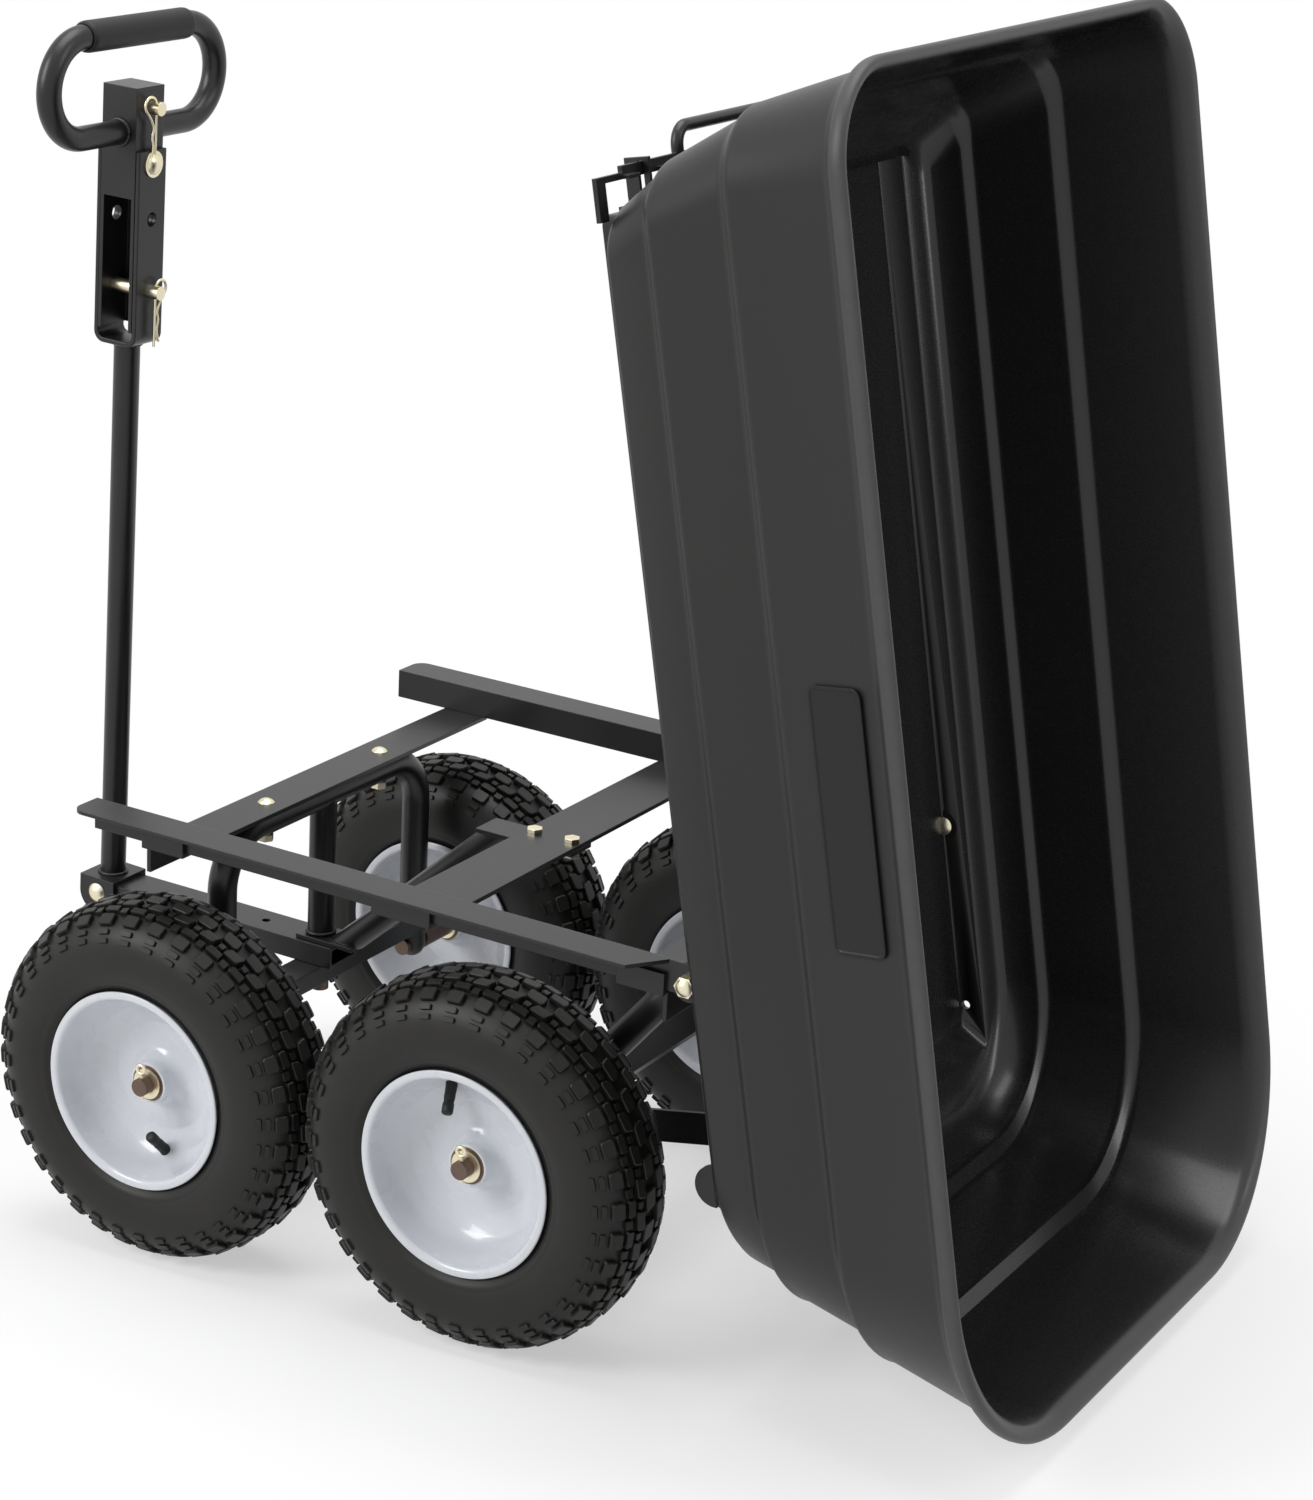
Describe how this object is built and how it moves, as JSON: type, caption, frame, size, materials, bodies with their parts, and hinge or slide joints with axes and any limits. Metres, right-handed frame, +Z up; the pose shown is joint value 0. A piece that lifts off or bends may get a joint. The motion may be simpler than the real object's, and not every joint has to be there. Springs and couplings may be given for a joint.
{
  "type": "tipping garden dump cart",
  "caption": "Garden dump cart: tipping black poly tub on a steel frame with white-rimmed pneumatic tyres and a folding tow handle.",
  "frame": {"origin": "middle of the cart's footprint on the ground, in the pose of the picture: tub tipped, handle upright", "axes": "+X from the handle towards the dump end, +Y across the cart to the right of someone pulling it, +Z up"},
  "size_m": [1.0958, 0.63, 1.0874],
  "materials": {
    "black_powder_coat": "satin",
    "zinc_plate": "satin",
    "gold_zinc": "satin",
    "bare_steel": "satin",
    "black_nylon": "matt",
    "black_poly": "satin",
    "grip_rubber": "matt",
    "tyre_rubber": "matt",
    "white_paint": "gloss",
    "valve_rubber": "matt"
  },
  "bodies": {
    "chassis": {"left_rail": "black_powder_coat", "right_rail": "black_powder_coat", "front_crossbar": "black_powder_coat", "middle_crossbar": "black_powder_coat", "rear_crossbar": "black_powder_coat", "front_hoop": "black_powder_coat", "rear_hoop": "black_powder_coat", "hoop_bolts": "zinc_plate", "brace_bolts": "zinc_plate", "frame_nuts": "zinc_plate", "front_axle_beam": "black_powder_coat", "rear_axle_beam": "black_powder_coat", "kingpin_post": "black_powder_coat", "kingpin": "bare_steel", "front_brace": "black_powder_coat", "front_spindles": "bare_steel", "rear_spindles": "bare_steel", "axle_washers": "zinc_plate", "split_pins": "zinc_plate", "tip_stop_arms": "black_powder_coat", "pivot_bolts": "zinc_plate", "pivot_nuts": "zinc_plate", "pivot_bushes": "black_nylon"},
    "front_left_wheel": {"tyre_front_left": "tyre_rubber", "rim_front_left": "white_paint", "bearings_front_left": "bare_steel", "valve_front_left": "valve_rubber"},
    "front_right_wheel": {"tyre_front_right": "tyre_rubber", "rim_front_right": "white_paint", "bearings_front_right": "bare_steel", "valve_front_right": "valve_rubber"},
    "rear_left_wheel": {"tyre_rear_left": "tyre_rubber", "rim_rear_left": "white_paint", "bearings_rear_left": "bare_steel", "valve_rear_left": "valve_rubber"},
    "rear_right_wheel": {"tyre_rear_right": "tyre_rubber", "rim_rear_right": "white_paint", "bearings_rear_right": "bare_steel", "valve_rear_right": "valve_rubber"},
    "tongue": {"tongue": "black_powder_coat"},
    "handle": {"yoke": "black_powder_coat", "yoke_bolt": "zinc_plate", "yoke_nut": "zinc_plate", "handle_shaft": "black_powder_coat", "clevis": "black_powder_coat", "grip_bolt": "zinc_plate", "grip_washer": "gold_zinc", "grip_nut": "zinc_plate", "hitch_pins": "zinc_plate", "hairpins": "zinc_plate", "hitch_block": "black_powder_coat", "grip_loop": "black_powder_coat", "grip_sleeve": "grip_rubber"},
    "tub": {"tub": "black_poly", "tub_feet": "black_powder_coat", "latch_guides": "black_powder_coat", "latch_screws": "zinc_plate"},
    "latch": {"latch_slide": "black_powder_coat"}
  },
  "joints": [
    {"name": "tub_tip", "type": "hinge", "parent": "chassis", "child": "tub", "pos_m": [0.24578, 0, 0.35631], "axis": [0, -1, 0], "range_deg": [0, 79]},
    {"name": "tongue_swing", "type": "hinge", "parent": "chassis", "child": "tongue", "pos_m": [-0.28295, 0, 0.20922], "axis": [0.0583, 0, 0.9983], "range_deg": [-30, 30]},
    {"name": "handle_fold", "type": "hinge", "parent": "tongue", "child": "handle", "pos_m": [-0.52827, 0, 0.22354], "axis": [0, -1, 0], "range_deg": [0, 95]},
    {"name": "latch_push", "type": "slide", "parent": "tub", "child": "latch", "axis": [0.1323, 0, -0.9912], "range_m": [0, 0.014]},
    {"name": "front_left_roll", "type": "hinge", "parent": "chassis", "child": "front_left_wheel", "pos_m": [-0.28558, -0.23, 0.164], "axis": [0, 1, 0], "continuous": true},
    {"name": "front_right_roll", "type": "hinge", "parent": "chassis", "child": "front_right_wheel", "pos_m": [-0.28558, 0.23, 0.164], "axis": [0, 1, 0], "continuous": true},
    {"name": "rear_left_roll", "type": "hinge", "parent": "chassis", "child": "rear_left_wheel", "pos_m": [0.04842, -0.23, 0.164], "axis": [0, 1, 0], "continuous": true},
    {"name": "rear_right_roll", "type": "hinge", "parent": "chassis", "child": "rear_right_wheel", "pos_m": [0.04842, 0.23, 0.164], "axis": [0, 1, 0], "continuous": true}
  ]
}
